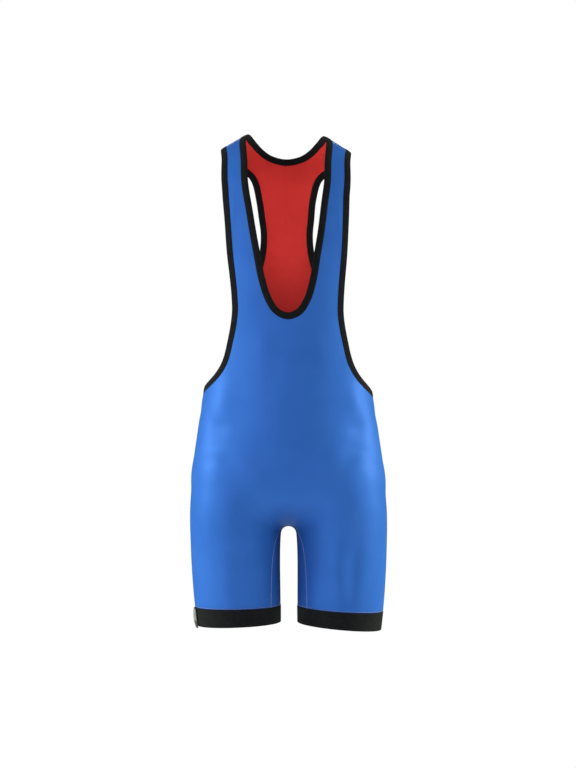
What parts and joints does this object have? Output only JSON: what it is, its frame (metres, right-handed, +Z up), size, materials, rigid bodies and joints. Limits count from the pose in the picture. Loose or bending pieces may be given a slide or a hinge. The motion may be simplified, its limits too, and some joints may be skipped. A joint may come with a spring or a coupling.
{
  "type": "athletic singlet",
  "caption": "Sleeveless one-piece stretch sports suit with a deep scoop neck, racer back, bound edges and short cuffed legs, hollow as worn.",
  "frame": {"origin": "midway between the two straps, at the height where they rest on the shoulders", "axes": "+Z up towards the shoulders, -Y out of the front, +X to the wearer's left"},
  "size_m": [0.3467, 0.2334, 0.8737],
  "materials": {
    "outer_cloth": "royal blue satin stretch knit",
    "inner_cloth": "red stretch knit, a little duller than the outside",
    "binding": "matt black stretch tape",
    "label": "plain woven label"
  },
  "bodies": {
    "root": {"front_panel": "outer_cloth", "back_panel": "outer_cloth", "back_lining": "inner_cloth", "neck_binding": "binding", "armhole_binding_left": "binding", "armhole_binding_right": "binding", "leg_cuff_left": "binding", "leg_cuff_right": "binding", "hem_label": "label"}
  },
  "joints": []
}
